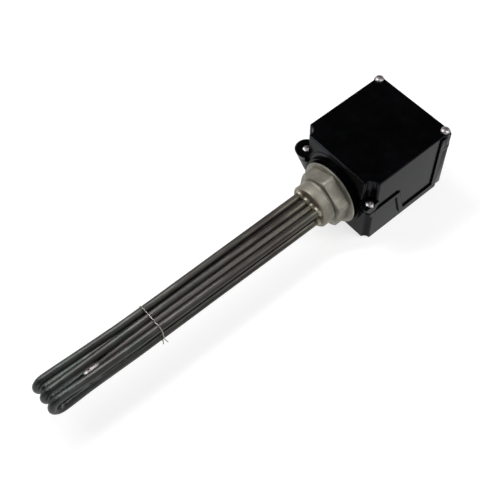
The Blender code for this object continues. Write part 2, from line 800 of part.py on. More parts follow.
def channel_corner(side):
    """Plan of a front corner: a rounded lip, the screwdriver channel and a second rounded lip."""
    screw = Vector((SCREW_X, side * SCREW_Y))
    lip = CHANNEL_LIP_RADIUS
    reach = CHANNEL_RADIUS + lip
    front_x = BOX_FRONT + lip
    front_y = screw.y - side * math.sqrt(reach ** 2 - (screw.x - front_x) ** 2)
    side_y = side * (HALF_WIDTH - lip)
    side_x = screw.x + math.sqrt(reach ** 2 - (screw.y - side_y) ** 2)
    front = Vector((front_x, front_y))
    flank = Vector((side_x, side_y))
    to_screw = math.degrees(math.atan2(screw.y - front.y, screw.x - front.x))
    from_flank = math.degrees(math.atan2(screw.y - flank.y, screw.x - flank.x)) + side * 360
    points = arc_points(front, lip, side * 180, to_screw, 4)
    points += arc_points(screw, CHANNEL_RADIUS, to_screw - side * 180, from_flank - side * 180, 9)[1:-1]
    points += arc_points(flank, lip, from_flank, side * 90, 4)
    return points


def cover_plan():
    """The cover's outline seen from above."""
    outline = channel_corner(1)
    rear = (BOX_REAR - CORNER_RADIUS, HALF_WIDTH - CORNER_RADIUS)
    outline += arc_points(rear, CORNER_RADIUS, 90, 0, 4)
    outline += arc_points((rear[0], -rear[1]), CORNER_RADIUS, 0, -90, 4)
    outline += list(reversed(channel_corner(-1)))
    return outline


def softened(thing, radius, level):
    """Round the outer edge of a prism's top face."""
    shape = bmesh.new()
    shape.from_mesh(thing.data)
    matrix = thing.matrix_world
    top = [e for e in shape.edges if all((matrix @ v.co).z > level - radius / 10 for v in e.verts)]
    rim = [e for e in top if any(abs(f.normal.z) < 0.5 for f in e.link_faces)]
    bmesh.ops.bevel(shape, geom=rim, offset=radius, segments=2, profile=0.5, affect="EDGES", material=-1)
    shape.to_mesh(thing.data)
    shape.free()
    return thing


def flush_side(lug, proud):
    """Cut a right-hand lug back to a plane a little proud of the side wall."""
    limit = block(lug.name + "_limit", (BOX_FRONT - 2 * LUG_SHOULDER, -HALF_WIDTH - proud, BOX_BOTTOM),
                  (BOX_REAR, 0.0, BOX_TOP))
    return keep_common(lug, as_cutter(limit))


def cover_lug(label):
    """The flared round lug that carries one front screw, on the cover."""
    if label == "left":
        levels = ((PARTING_FRONT, LEFT_LUG_FOOT_RADIUS), (LUG_SHOULDER, LEFT_LUG_RADIUS),
                  (LUG_TOP, LEFT_LUG_CROWN_RADIUS))
        return as_cutter(stacked("lug_left", (SCREW_X, SCREW_Y), levels))
    levels = ((PARTING_FRONT, RIGHT_LUG_FOOT_RADIUS), (LUG_SHOULDER, RIGHT_LUG_RADIUS),
              (LUG_TOP, RIGHT_LUG_CROWN_RADIUS))
    lug = stacked("lug_right", (SCREW_X, -SCREW_Y), levels)
    return as_cutter(flush_side(lug, LUG_FLUSH))


def base_lug(label):
    """The base's share of one front lug: tapered away downwards on the left, a short pad on the right."""
    if label == "left":
        levels = ((PARTING_FRONT - LEFT_BASE_LUG_TAPER, LEFT_BASE_LUG_FOOT),
                  (PARTING_FRONT, LEFT_LUG_FOOT_RADIUS), (BOX_TOP / 2, LEFT_LUG_FOOT_RADIUS))
        return as_cutter(stacked("base_lug_left", (SCREW_X, SCREW_Y), levels))
    pad_low = PARTING_FRONT - RIM_WIDTH - RIM_PROUD / 4
    levels = ((pad_low - RIGHT_BASE_LUG_TAPER, RIGHT_BASE_LUG_FOOT), (pad_low, RIGHT_BASE_LUG_RADIUS),
              (BOX_TOP / 2, RIGHT_BASE_LUG_RADIUS))
    lug = stacked("base_lug_right", (SCREW_X, -SCREW_Y), levels)
    return as_cutter(flush_side(lug, RIM_PROUD * 0.9))


def make_cover():
    """Top, walls down to the parting line, screwdriver channels, lugs and corner bosses."""
    low = PARTING_LOW
    cover = prism("box_cover", cover_plan(), low, BOX_TOP, "Z")
    softened(cover, TOP_EDGE_RADIUS, BOX_TOP)
    cavity = moulded_block((BOX_FRONT + WALL, -HALF_WIDTH + WALL, low - OVERSHOOT),
                           (BOX_REAR - WALL, HALF_WIDTH - WALL, BOX_TOP - TOP_WALL), CORNER_RADIUS / 2,
                           name="cover_cavity")
    cut(cavity, *corner_posts("channel_wall", CHANNEL_RADIUS + WALL, 0, low - 2 * OVERSHOOT,
                              BOX_TOP + OVERSHOOT))
    cut(cover, as_cutter(cavity))
    join(cover, cover_lug("left"), cover_lug("right"))
    for post in corner_posts("rear_boss", 0, REAR_BOSS_RADIUS, PARTING_REAR, BOX_TOP):
        join(cover, post)
    cut(cover, *corner_posts("channel_floor", CHANNEL_RADIUS - FIT_GAP, 0, CHANNEL_FLOOR, BOX_TOP + OVERSHOOT))
    cut(cover, base_region("under_cover", PARTING_GAP))
    cut(cover, *corner_posts("cover_screw_way", SCREW_DIAMETER / 2 + FIT_GAP, SCREW_DIAMETER / 2 + FIT_GAP,
                             low - OVERSHOOT, BOX_TOP + OVERSHOOT))
    finish(cover, BLACK_MOULDING)


def make_base():
    """Floor, front block with the round boss, side strips and rear wall, in one moulding."""
    high = BOX_TOP - FIT_GAP
    base = moulded_block((BOX_FRONT, -HALF_WIDTH, BOX_BOTTOM), (BOX_REAR, HALF_WIDTH, high), CORNER_RADIUS,
                         draft=(BASE_DRAFT, BASE_SIDE_DRAFT), name="box_base")
    groove_low = BOX_BOTTOM - OVERSHOOT
    groove_high = PARTING_FRONT + OVERSHOOT
    for side, label in SIDES:
        y = side * HALF_WIDTH
        cut(base, as_cutter(rod("corner_groove_" + label, (BOX_FRONT, y, groove_low),
                                (BOX_FRONT, y, groove_high), CORNER_GROOVE_RADIUS, steps=32)))
    join(base, as_cutter(rim_band()))
    cavity = moulded_block((WALL_INSIDE, -HALF_WIDTH + WALL, FLOOR_TOP),
                           (BOX_REAR - WALL, HALF_WIDTH - WALL, high + OVERSHOOT), CORNER_RADIUS / 2,
                           name="base_cavity")
    for side, label in SIDES:
        y = side * HALF_WIDTH
        cut(cavity, as_cutter(rod("groove_wall_" + label, (BOX_FRONT, y, groove_low - OVERSHOOT),
                                  (BOX_FRONT, y, high + OVERSHOOT), CORNER_GROOVE_RADIUS + WALL, steps=32)))
    cut(base, as_cutter(cavity))
    join(base, base_lug("left"), base_lug("right"))
    for post in corner_posts("post", 0, POST_RADIUS, FLOOR_TOP, PARTING_REAR):
        inset = WALL / 4
        limit = moulded_block((BOX_FRONT, -HALF_WIDTH + inset, BOX_BOTTOM),
                              (BOX_REAR - inset, HALF_WIDTH - inset, high), CORNER_RADIUS,
                              draft=(BASE_DRAFT, BASE_SIDE_DRAFT), name=post.name + "_limit")
        keep_common(post, as_cutter(limit))
        join(base, post)
    boss = rod("plug_boss", (BOSS_FRONT, 0, 0), (WALL_INSIDE, 0, 0), BOSS_DIAMETER / 2, steps=ROUND_STEPS)
    join(base, as_cutter(boss))
    pad = rod("gland_pad", (BOX_REAR - WALL, 0, GLAND_HEIGHT), (BOX_REAR, 0, GLAND_HEIGHT), GLAND_PAD_RADIUS,
              steps=40)
    join(base, as_cutter(pad))
    keep_common(base, base_region("base_share", 0.0))
    for y in bracket_screw_places():
        pad = rod(f"floor_pad_{y > 0}", (stat_centre(), y, FLOOR_TOP - FLOOR / 2),
                  (stat_centre(), y, FLOOR_TOP + FLOOR_PAD_HEIGHT), FLOOR_PAD_RADIUS)
        join(base, as_cutter(pad))
        pilot = rod(f"pad_hole_{y > 0}", (stat_centre(), y, FLOOR_TOP), (stat_centre(), y, BOX_TOP),
                    SMALL_SCREW_DIAMETER / 2 + FIT_GAP, steps=16)
        cut(base, as_cutter(pilot))
    hole = rod("spigot_hole", (BOSS_FRONT - OVERSHOOT, 0, 0), (WALL_INSIDE + OVERSHOOT, 0, 0),
               SPIGOT_DIAMETER / 2 + SLIDE_GAP, steps=ROUND_STEPS)
    gland = rod("gland_hole", (BOX_REAR - OVERSHOOT, 0, GLAND_HEIGHT), (BOX_REAR + OVERSHOOT, 0, GLAND_HEIGHT),
                GLAND_THREAD_DIAMETER / 2 + FIT_GAP, steps=32)
    cut(base, as_cutter(hole), as_cutter(gland))
    reach = SCREW_BITE + FIT_GAP
    for side, label in SIDES:
        for place, x, y, top in (("front", SCREW_X, side * SCREW_Y, PARTING_FRONT),
                                 ("rear", REAR_SCREW_X, side * REAR_SCREW_Y, PARTING_REAR)):
            pilot = rod(f"pilot_{place}_{label}", (x, y, top - reach), (x, y, top + OVERSHOOT),
                        SCREW_DIAMETER / 2 + FIT_GAP, steps=16)
            cut(base, as_cutter(pilot))
    finish(base, BLACK_MOULDING)


def rim_band():
    """The raised bead that follows the parting line round the base, on its sides and rear."""
    start = SCREW_X + RIM_PROUD * 0.6
    proud = moulded_block((start, -HALF_WIDTH - RIM_PROUD, BOX_BOTTOM + RIM_WIDTH),
                          (BOX_REAR + RIM_PROUD, HALF_WIDTH + RIM_PROUD, BOX_TOP), CORNER_RADIUS,
                          name="rim_band")
    keep_common(proud, base_region("rim_outer", 0.0))
    below = prism("rim_inner", parting_outline(-RIM_WIDTH), -HALF_WIDTH - OVERSHOOT,
                  HALF_WIDTH + OVERSHOOT, "Y")
    return cut(proud, as_cutter(below))


def make_cover_seal():
    """The rubber cord between the two mouldings, laid inside the screws."""
    inset = SEAL_SETBACK
    low = PARTING_LOW - OVERSHOOT
    high = BOX_TOP + OVERSHOOT
    seal = moulded_block((BOX_FRONT + inset, -HALF_WIDTH + inset, low),
                         (BOX_REAR - inset, HALF_WIDTH - inset, high), CORNER_RADIUS, name="cover_seal")
    cut(seal, *corner_posts("seal_outer", CHANNEL_RADIUS + inset, SCREW_DIAMETER, low - OVERSHOOT,
                            high + OVERSHOOT))
    inset += SEAL_WIDTH
    inner = moulded_block((BOX_FRONT + inset, -HALF_WIDTH + inset, low - OVERSHOOT),
                          (BOX_REAR - inset, HALF_WIDTH - inset, high + OVERSHOOT), CORNER_RADIUS / 2,
                          name="seal_inside")
    cut(inner, *corner_posts("seal_inner", CHANNEL_RADIUS + inset, SCREW_DIAMETER + SEAL_WIDTH,
                             low - 2 * OVERSHOOT, high + 2 * OVERSHOOT))
    cut(seal, as_cutter(inner))
    keep_common(seal, base_region("seal_top", FIT_GAP + SEAL_THICKNESS))
    cut(seal, base_region("seal_bottom", FIT_GAP))
    finish(seal, RUBBER)


def make_cover_screws():
    head = SCREW_HEAD_DIAMETER / 2
    shank = SCREW_DIAMETER / 2
    dome_steps = 5
    for side, label in SIDES:
        for place, x, y, seat, parting in (("front", SCREW_X, side * SCREW_Y, CHANNEL_FLOOR, PARTING_FRONT),
                                           ("rear", REAR_SCREW_X, side * REAR_SCREW_Y, BOX_TOP, PARTING_REAR)):
            base = seat + FIT_GAP
            tip = parting - SCREW_BITE
            crown = SCREW_HEAD_HEIGHT - 1.0 * MM
            profile = []
            for i in range(dome_steps + 1):
                angle = math.pi / 2 * i / dome_steps
                profile.append((head * math.sin(angle), base + 1.0 * MM + crown * math.cos(angle)))
            profile += [(head, base), (shank, base), (shank, tip + 1.5 * MM), (0.4 * MM, tip), (0.0, tip)]
            screw = turned(f"cover_screw_{place}_{label}", profile, place=(x, y, 0), axis="Z",
                           steps=SMALL_STEPS)
            for turn, wide in ((0, SCREW_RECESS), (1, SCREW_RECESS)):
                sizes = (wide / 2, 0.5 * MM) if turn == 0 else (0.5 * MM, wide / 2)
                slot = block(f"recess_{place}_{label}_{turn}",
                             (x - sizes[0], y - sizes[1], base + SCREW_HEAD_HEIGHT - 1.5 * MM),
                             (x + sizes[0], y + sizes[1], base + SCREW_HEAD_HEIGHT + OVERSHOOT))
                cut(screw, as_cutter(slot))
            finish(screw, ZINC)


# Cable gland

def make_gland():
    """A screwed cable gland: body through the rear wall, washer and nut, insert and cap."""
    centre = (0.0, GLAND_HEIGHT)
    thread = GLAND_THREAD_DIAMETER / 2
    bore = GLAND_BORE / 2
    collet = GLAND_COLLET_DIAMETER / 2
    washer_low = BOX_REAR + FIT_GAP
    washer_high = washer_low + GLAND_WASHER_THICKNESS
    hex_low = washer_high + FIT_GAP
    hex_high = hex_low + GLAND_HEX_LENGTH
    collet_end = hex_high + GLAND_COLLET_LENGTH
    inner_end = BOX_REAR - WALL - FIT_GAP - GLAND_NUT_THICKNESS - 1.5 * MM
    seat = bore + GLAND_INSERT_WALL + FIT_GAP
    body = [
        (seat, collet_end),
        (collet, collet_end),
        (collet, hex_high - FIT_GAP),
        (collet, hex_low + 1.0 * MM),
        (thread, hex_low + 1.0 * MM),
        (thread, inner_end),
        (bore, inner_end),
        (bore, hex_high),
        (seat, hex_high),
    ]
    place = (0, *centre)
    gland = turned("gland_body", body, place=place, ring=True, steps=32)
    nut = hexagon_prism("gland_hexagon", GLAND_HEX, hex_low, hex_high, centre, "X")
    way = rod("gland_way", (hex_low - OVERSHOOT, *centre), (hex_high + OVERSHOOT, *centre),
              (bore + thread) / 2, steps=32)
    cut(nut, as_cutter(way))
    join(gland, as_cutter(nut))
    finish(gland, GREY_PLASTIC)
    washer_at("gland_washer", GLAND_HEX / 2, thread + FIT_GAP, washer_low, washer_high, centre, RUBBER)
    nut_high = BOX_REAR - WALL - FIT_GAP
    nut_at("gland_locknut", GLAND_HEX, thread + FIT_GAP, nut_high - GLAND_NUT_THICKNESS, nut_high, centre,
           GREY_PLASTIC)
    insert_low = hex_high + FIT_GAP
    insert_high = collet_end + 1.0 * MM
    insert = [
        (bore + GLAND_INSERT_WALL, insert_high),
        (bore + GLAND_INSERT_WALL, insert_low),
        (bore, insert_low),
        (bore, insert_high),
    ]
    finish(turned("gland_insert", insert, place=place, ring=True, steps=32), RUBBER)
    cap_low = hex_high + FIT_GAP
    cap_high = cap_low + GLAND_CAP_LENGTH
    outer = GLAND_HEX / 2
    inner = collet + FIT_GAP
    mouth = GLAND_CAP_MOUTH / 2
    ceiling = insert_high + FIT_GAP
    cap = [
        (mouth, cap_high),
        (mouth + 1.4 * MM, cap_high),
        (outer - 1.0 * MM, cap_high - 3.0 * MM),
        (outer, cap_high - 5.0 * MM),
        (outer, cap_low),
        (inner, cap_low),
        (inner, ceiling),
        (mouth, ceiling + 1.0 * MM),
    ]
    cap_nut = turned("gland_cap", cap, place=place, ring=True, steps=32)
    flats = hexagon_prism("cap_flats", GLAND_HEX * 0.97, cap_low - OVERSHOOT, cap_high + OVERSHOOT, centre,
                          "X", turn=math.pi / 6)
    keep_common(cap_nut, as_cutter(flats))
    finish(cap_nut, GREY_PLASTIC)


# Thermostat

def stat_centre():
    return BOX_REAR - STAT_SETBACK - STAT_LENGTH / 2


def stat_floor():
    return FLOOR_TOP + FLOOR_PAD_HEIGHT + FIT_GAP + BRACKET_THICKNESS + FIT_GAP


def bracket_screw_places():
    place = STAT_WIDTH / 2 + BRACKET_EAR / 2
    return (-place, place)


def make_thermostat():
    x = stat_centre()
    low = stat_floor()
    high = low + STAT_HEIGHT
    half_x = STAT_LENGTH / 2
    half_y = STAT_WIDTH / 2
    body = moulded_block((x - half_x, -half_y, low), (x + half_x, half_y, high), STAT_EDGE, STAT_EDGE / 2,
                         name="thermostat_body")
    bush = rod("spindle_bush", (x, 0, high - 1.0 * MM), (x, 0, high + SPINDLE_BUSH_HEIGHT),
               SPINDLE_BUSH_DIAMETER / 2)
    bore = rod("spindle_bore", (x, 0, high - SPINDLE_DEPTH - FIT_GAP), (x, 0, high + OVERSHOOT),
               SPINDLE_DIAMETER / 2 + FIT_GAP)
    join(body, as_cutter(bush))
    cut(body, as_cutter(bore))
    finish(body, GREY_PLASTIC)
    make_bracket(x, low - FIT_GAP)
    make_spindle(x, high)
    make_capillary(x - half_x, low + STAT_HEIGHT / 3)


def make_bracket(x, top):
    """A flat strap under the thermostat, with an ear on each side for its screw."""
    reach = STAT_WIDTH / 2 + BRACKET_EAR
    half = STAT_LENGTH / 4
    strap = moulded_block((x - half, -reach, top - BRACKET_THICKNESS), (x + half, reach, top), 2.0 * MM,
                          name="thermostat_bracket")
    for y in bracket_screw_places():
        side = "left" if y > 0 else "right"
        way = rod("bracket_hole_" + side, (x, y, top - OVERSHOOT), (x, y, top + OVERSHOOT),
                  SMALL_SCREW_DIAMETER / 2 + FIT_GAP, steps=16)
        cut(strap, as_cutter(way))
        head = SMALL_SCREW_HEAD / 2
        shank = SMALL_SCREW_DIAMETER / 2
        seat = top + FIT_GAP
        tip = seat - SMALL_SCREW_LENGTH
        profile = [
            (0.0, seat + SMALL_SCREW_HEAD_HEIGHT),
            (head - 0.8 * MM, seat + SMALL_SCREW_HEAD_HEIGHT),
            (head, seat + SMALL_SCREW_HEAD_HEIGHT / 2),
            (head, seat),
            (shank, seat),
            (shank, tip),
            (0.0, tip),
        ]
        finish(turned("bracket_screw_" + side, profile, place=(x, y, 0), axis="Z", steps=16), ZINC)
    finish(strap, ZINC)


def make_spindle(x, body_top):
    """The adjusting spindle, with a screwdriver slot and a pointer, turning in the bush."""
    bush_top = body_top + SPINDLE_BUSH_HEIGHT
    low = body_top - SPINDLE_DEPTH
    high = bush_top + SPINDLE_RISE
    radius = SPINDLE_DIAMETER / 2
    edge = 0.5 * MM
    profile = [
        (0.0, high),
        (radius - edge, high),
        (radius, high - edge),
        (radius, low),
        (0.0, low),
    ]
    spindle = turned("thermostat_spindle", profile, place=(x, 0, 0), axis="Z", steps=SMALL_STEPS)
    pointer_low = bush_top + FIT_GAP
    pointer = block("pointer_arm", (x, -POINTER_WIDTH / 2, pointer_low),
                    (x + POINTER_LENGTH, POINTER_WIDTH / 2, pointer_low + POINTER_THICKNESS))
    slot = block("spindle_slot", (x - OVERSHOOT, -SPINDLE_SLOT_WIDTH / 2, high - SPINDLE_SLOT_DEPTH),
                 (x + OVERSHOOT, SPINDLE_SLOT_WIDTH / 2, high + OVERSHOOT))
    join(spindle, as_cutter(pointer))
    cut(spindle, as_cutter(slot))
    finish(spindle, BRASS)


def make_capillary(head_x, head_z):
    """The liquid-filled bulb near the pocket's tip and the fine tube that leads from it to the head."""
    bulb_low = -POCKET_REACH + POCKET_CLOSED_END + 2.0 * MM
    bulb_high = bulb_low + BULB_LENGTH
    points = pocket_points(bulb_high, bulb_low, 6)
    finish(meshed("sensor_bulb", tube_curve("bulb_line", points, BULB_DIAMETER / 2, 3)), COPPER)
    mouth = PLUG_REAR + POCKET_TAIL
    route = pocket_points(bulb_high + FIT_GAP, mouth, 12)
    y, z = POCKET_AT_PLUG
    end = Vector((head_x - FIT_GAP, -STAT_WIDTH / 4, head_z))
    start = Vector((mouth, y, z))
    reach = (end - start).length
    lift = Vector((0, 0, reach / 4))
    steps = 14
    for i in range(1, steps + 1):
        share = i / steps
        bend_out = start + Vector((reach / 2, 0, 0)) + lift
        bend_in = end - Vector((reach / 2, 0, 0)) + lift / 2
        point = ((1 - share) ** 3 * start + 3 * (1 - share) ** 2 * share * bend_out
                 + 3 * (1 - share) * share ** 2 * bend_in + share ** 3 * end)
        route.append(tuple(point))
    finish(meshed("capillary_tube", tube_curve("capillary_line", route, CAPILLARY_DIAMETER / 2, 1)), COPPER)


def make_wire_tie():
    """One turn of soft wire round the bundle, its two ends left crossing at the near lower edge."""
    x = -TIE_POSITION
    reach = SHEATH_RADIUS + FIT_GAP + TIE_WIRE_DIAMETER / 2
    left = max(TIE_PITCHES)
    right = min(TIE_PITCHES)
    top = LEG_SPACING / 2
    corners = ((right, -top, -135), (left, -top, -45), (left, top, 45), (right, top, 135))
    loop = []
    arc_steps = 4
    for y, z, middle in corners:
        for i in range(arc_steps + 1):
            angle = math.radians(middle - 45 + 90 * i / arc_steps)
            loop.append((y + reach * math.cos(angle), z + reach * math.sin(angle)))
    turns = len(loop)
    pitch = TIE_WIRE_DIAMETER * 1.6
    points = []
    for i, (y, z) in enumerate(loop):
        points.append((x + pitch * (i / turns - 0.5), y, z))
    y, z = loop[-1]
    points.append((x + pitch / 2, y, z - 2 * top))
    points.append((x + pitch / 2 + TIE_TAIL / 3, y - TIE_TAIL / 2, z - 2 * top - TIE_TAIL))
    tail = loop[0]
    points.insert(0, (x - pitch / 2 - TIE_TAIL / 3, tail[0] - TIE_TAIL / 2, tail[1] - TIE_TAIL / 2))
    finish(meshed("wire_tie", tube_curve("tie_line", points, TIE_WIRE_DIAMETER / 2, 2)), ZINC)


make_elements()
make_pocket()
make_plug()
make_plug_gasket()
make_ring_nut()
make_terminals()
make_earth_stud()
make_base()
make_cover()
make_cover_seal()
make_cover_screws()
make_gland()
make_thermostat()
make_wire_tie()
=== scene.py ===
"""Looks for the screw-in immersion heater: finishes for every solid, and the small pieces that
the solids leave out, such as the braze round the tubes and the lip behind the plug's neck."""

import math

import bmesh
import bpy
from mathutils import Matrix, Vector


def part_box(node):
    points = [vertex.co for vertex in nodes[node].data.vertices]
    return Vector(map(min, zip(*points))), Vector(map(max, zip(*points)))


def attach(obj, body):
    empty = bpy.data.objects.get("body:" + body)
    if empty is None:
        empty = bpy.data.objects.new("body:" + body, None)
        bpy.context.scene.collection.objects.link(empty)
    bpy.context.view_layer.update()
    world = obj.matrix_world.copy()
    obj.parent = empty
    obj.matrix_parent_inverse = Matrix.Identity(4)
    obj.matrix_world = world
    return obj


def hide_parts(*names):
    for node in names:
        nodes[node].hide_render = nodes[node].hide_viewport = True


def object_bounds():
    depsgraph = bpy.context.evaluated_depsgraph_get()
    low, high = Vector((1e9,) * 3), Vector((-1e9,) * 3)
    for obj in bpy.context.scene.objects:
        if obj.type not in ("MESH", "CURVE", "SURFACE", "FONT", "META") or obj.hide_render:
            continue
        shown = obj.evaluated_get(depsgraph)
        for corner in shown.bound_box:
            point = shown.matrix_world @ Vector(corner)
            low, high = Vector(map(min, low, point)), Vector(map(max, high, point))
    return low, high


MM = 0.001

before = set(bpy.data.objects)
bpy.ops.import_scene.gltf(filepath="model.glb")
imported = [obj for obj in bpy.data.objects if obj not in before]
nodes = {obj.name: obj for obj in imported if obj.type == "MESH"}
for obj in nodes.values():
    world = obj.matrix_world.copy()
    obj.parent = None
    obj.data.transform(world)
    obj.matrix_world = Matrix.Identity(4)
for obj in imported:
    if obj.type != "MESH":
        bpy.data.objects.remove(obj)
cad_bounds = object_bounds()

# Sizes and places that the solids have, on which the pieces of this script sit
SHEATH_RADIUS = 4.1 * MM
LEG_HEIGHT = 7.6 * MM
LEG_PITCHES = (12.4 * MM, 3.0 * MM, -12.0 * MM)
ELEMENT_END = -320 * MM
POCKET_PLACE = (-4.5 * MM, 7.6 * MM)
POCKET_RADIUS = 2.8 * MM
NECK_RADIUS = 23.15 * MM
NECK_FACE = -13.0 * MM
THREAD_PITCH = 2.309 * MM
BOX_REAR = 124.1 * MM
BOX_HALF_WIDTH = 47.5 * MM

# The raised band round the box's rear, which stands on its walls and is sunk into them a little
BAND_FRONT = 110.9 * MM
BAND_LOW = 27.0 * MM
BAND_TOP = 44.4 * MM
BAND_PROUD = 1.45 * MM
BAND_ROOT = 2.0 * MM
CORNER_LOW = -30.2 * MM
CORNER_WRAP = 12.0 * MM
CORNER_LAP = 1.0 * MM
WALL_START = BAND_FRONT + 3.0 * MM
SIDE_OUTER = BOX_HALF_WIDTH + BAND_PROUD
SIDE_INNER = BOX_HALF_WIDTH - BAND_ROOT
REAR_OUTER = BOX_REAR + BAND_PROUD
REAR_INNER = BOX_REAR - BAND_ROOT

# Sockets of a Mix node that mixes colours
MIX_A = 6
MIX_B = 7
MIX_RESULT = 2


# Node trees

def linear(hex_colour):
    """An sRGB hex colour as linear red, green, blue and alpha."""
    text = hex_colour.lstrip("#")
    channels = [int(text[i:i + 2], 16) / 255 for i in (0, 2, 4)]
    lit = [c / 12.92 if c <= 0.04045 else ((c + 0.055) / 1.055) ** 2.4 for c in channels]
    return (*lit, 1.0)


def add(tree, kind, inputs=None, stops=None, out=0, **settings):
    """Add one node with its settings, its values, the outputs that feed it and any ramp stops, and
    give back the output that is used of it."""
    node = tree.nodes.new("ShaderNode" + kind)
    for name, value in settings.items():
        setattr(node, name, value)
    for socket, value in (inputs or {}).items():
        if isinstance(value, bpy.types.NodeSocket):
            tree.links.new(value, node.inputs[socket])
        else:
            node.inputs[socket].default_value = value
    for i, (place, colour) in enumerate(stops or ()):
        if i < 2:
            node.color_ramp.elements[i].position = place
            node.color_ramp.elements[i].color = linear(colour)
        else:
            node.color_ramp.elements.new(place).color = linear(colour)
    return node.outputs[out]


def new_material(name, **sockets):
    """A Principled material with its constant sockets set, its tree and its shader."""
    made = bpy.data.materials.new(name)
    made.use_nodes = True
    tree = made.node_tree
    shader = tree.nodes["Principled BSDF"]
    for socket, value in sockets.items():
        shader.inputs[socket.replace("_", " ")].default_value = value
    return made, tree, shader


def feed(tree, shader, **sources):
    """Link what varies over the surface to the shader's sockets."""
    for socket, source in sources.items():
        tree.links.new(source, shader.inputs[socket.replace("_", " ")])


# Finishes. A noise's scale is one over the size of its largest clouds.

def polished_black_moulding():
    """Black phenolic from a polished tool. To the eye it is black, with a soft gloss that only shows
    where it is seen at a shallow angle, a little slow waviness, and fine scuffs from handling."""
    made, tree, shader = new_material("phenolic_black_polished", IOR=1.5, Specular_IOR_Level=0.07,
                                      Specular_Tint=linear("#cfdcf8"))
    place = add(tree, "TexCoord", out="Object")
    clouds = add(tree, "TexNoise", {"Vector": place, "Scale": 1 / (35 * MM), "Detail": 4.0})
    body = add(tree, "ValToRGB", {0: clouds}, stops=((0.35, "#020202"), (0.7, "#050506")))
    # A faint rubbed bloom, in patches
    bloom = add(tree, "TexNoise", {"Vector": place, "Scale": 1 / (12 * MM), "Detail": 6.0,
                                   "Roughness": 0.6})
    bloom_mask = add(tree, "MapRange", {"Value": bloom, "From Min": 0.5, "From Max": 0.8, "To Max": 0.35})
    colour = add(tree, "Mix", {"Factor": bloom_mask, MIX_A: body, MIX_B: linear("#0e0f11")},
                 out=MIX_RESULT, data_type="RGBA")
    stretched = add(tree, "Mapping", {"Vector": place, "Scale": (0.3, 1.0, 1.0)})
    scuffs = add(tree, "TexNoise", {"Vector": stretched, "Scale": 1 / (2.2 * MM), "Detail": 6.0,
                                    "Roughness": 0.7})
    gloss = add(tree, "MapRange", {"Value": scuffs, "From Min": 0.4, "From Max": 0.8,
                                   "To Min": 0.17, "To Max": 0.28})
    waves = add(tree, "TexNoise", {"Vector": place, "Scale": 1 / (11 * MM), "Detail": 1.5})
    bump = add(tree, "Bump", {"Height": waves, "Distance": 0.05 * MM, "Strength": 0.5})
    feed(tree, shader, Base_Color=colour, Roughness=gloss, Normal=bump)
    return made


def turned_nickel():
    """Nickel plate on turned brass, gone dull. To the eye it is a warm, slightly green silver with
    soft wide highlights, faint rings round the neck, and a browner, darker front towards the brazed face."""
    made, tree, shader = new_material("brass_turned_nickel_plated", Metallic=1.0)
    place = add(tree, "TexCoord", out="Object")
    clouds = add(tree, "TexNoise", {"Vector": place, "Scale": 1 / (13 * MM), "Detail": 5.0,
                                    "Roughness": 0.6})
    patina = add(tree, "ValToRGB", {0: clouds}, stops=((0.3, "#79766c"), (0.5, "#8b887e"), (0.72, "#9d9a91")))
    # The plate is browner and darker towards the brazed face, over the last few millimetres
    x = add(tree, "SeparateXYZ", {"Vector": place}, out="X")
    near_front = add(tree, "MapRange", {"Value": x, "From Min": -6 * MM, "From Max": NECK_FACE,
                                        "To Max": 0.6})
    darker_front = add(tree, "Mix", {"Factor": near_front, MIX_A: patina, MIX_B: linear("#776f61")},
                out=MIX_RESULT, data_type="RGBA")
    specks = add(tree, "TexNoise", {"Vector": place, "Scale": 1 / (3.5 * MM), "Detail": 5.0,
                                    "Roughness": 0.65})
    speck_mask = add(tree, "MapRange", {"Value": specks, "From Min": 0.56, "From Max": 0.75, "To Max": 0.4})
    colour = add(tree, "Mix", {"Factor": speck_mask, MIX_A: darker_front, MIX_B: linear("#65625a")},
                 out=MIX_RESULT, data_type="RGBA")
    dull = add(tree, "MapRange", {"Value": specks, "From Min": 0.3, "From Max": 0.7,
                                  "To Min": 0.52, "To Max": 0.6})
    # Rings at the pitch of the thread that the neck carries: a band of a wave texture repeats
    # every 2 pi / (20 x scale)
    rings = add(tree, "TexWave", {"Vector": place, "Scale": 2 * math.pi / (20 * THREAD_PITCH),
                                  "Distortion": 0.3, "Detail": 1.0, "Detail Scale": 2.0},
                out="Fac", wave_type="BANDS", bands_direction="X")
    on_neck = add(tree, "MapRange", {"Value": x, "From Min": -1 * MM, "From Max": -2 * MM, "To Max": 0.5})
    neck_rings = add(tree, "Math", {0: rings, 1: on_neck}, operation="MULTIPLY")
    grain = add(tree, "TexNoise", {"Vector": place, "Scale": 1 / (1.4 * MM), "Detail": 3.0})
    height = add(tree, "Math", {0: neck_rings, 1: grain}, operation="ADD")
    bump = add(tree, "Bump", {"Height": height, "Distance": 0.05 * MM, "Strength": 0.5})
    feed(tree, shader, Base_Color=colour, Roughness=dull, Normal=bump)
    return made


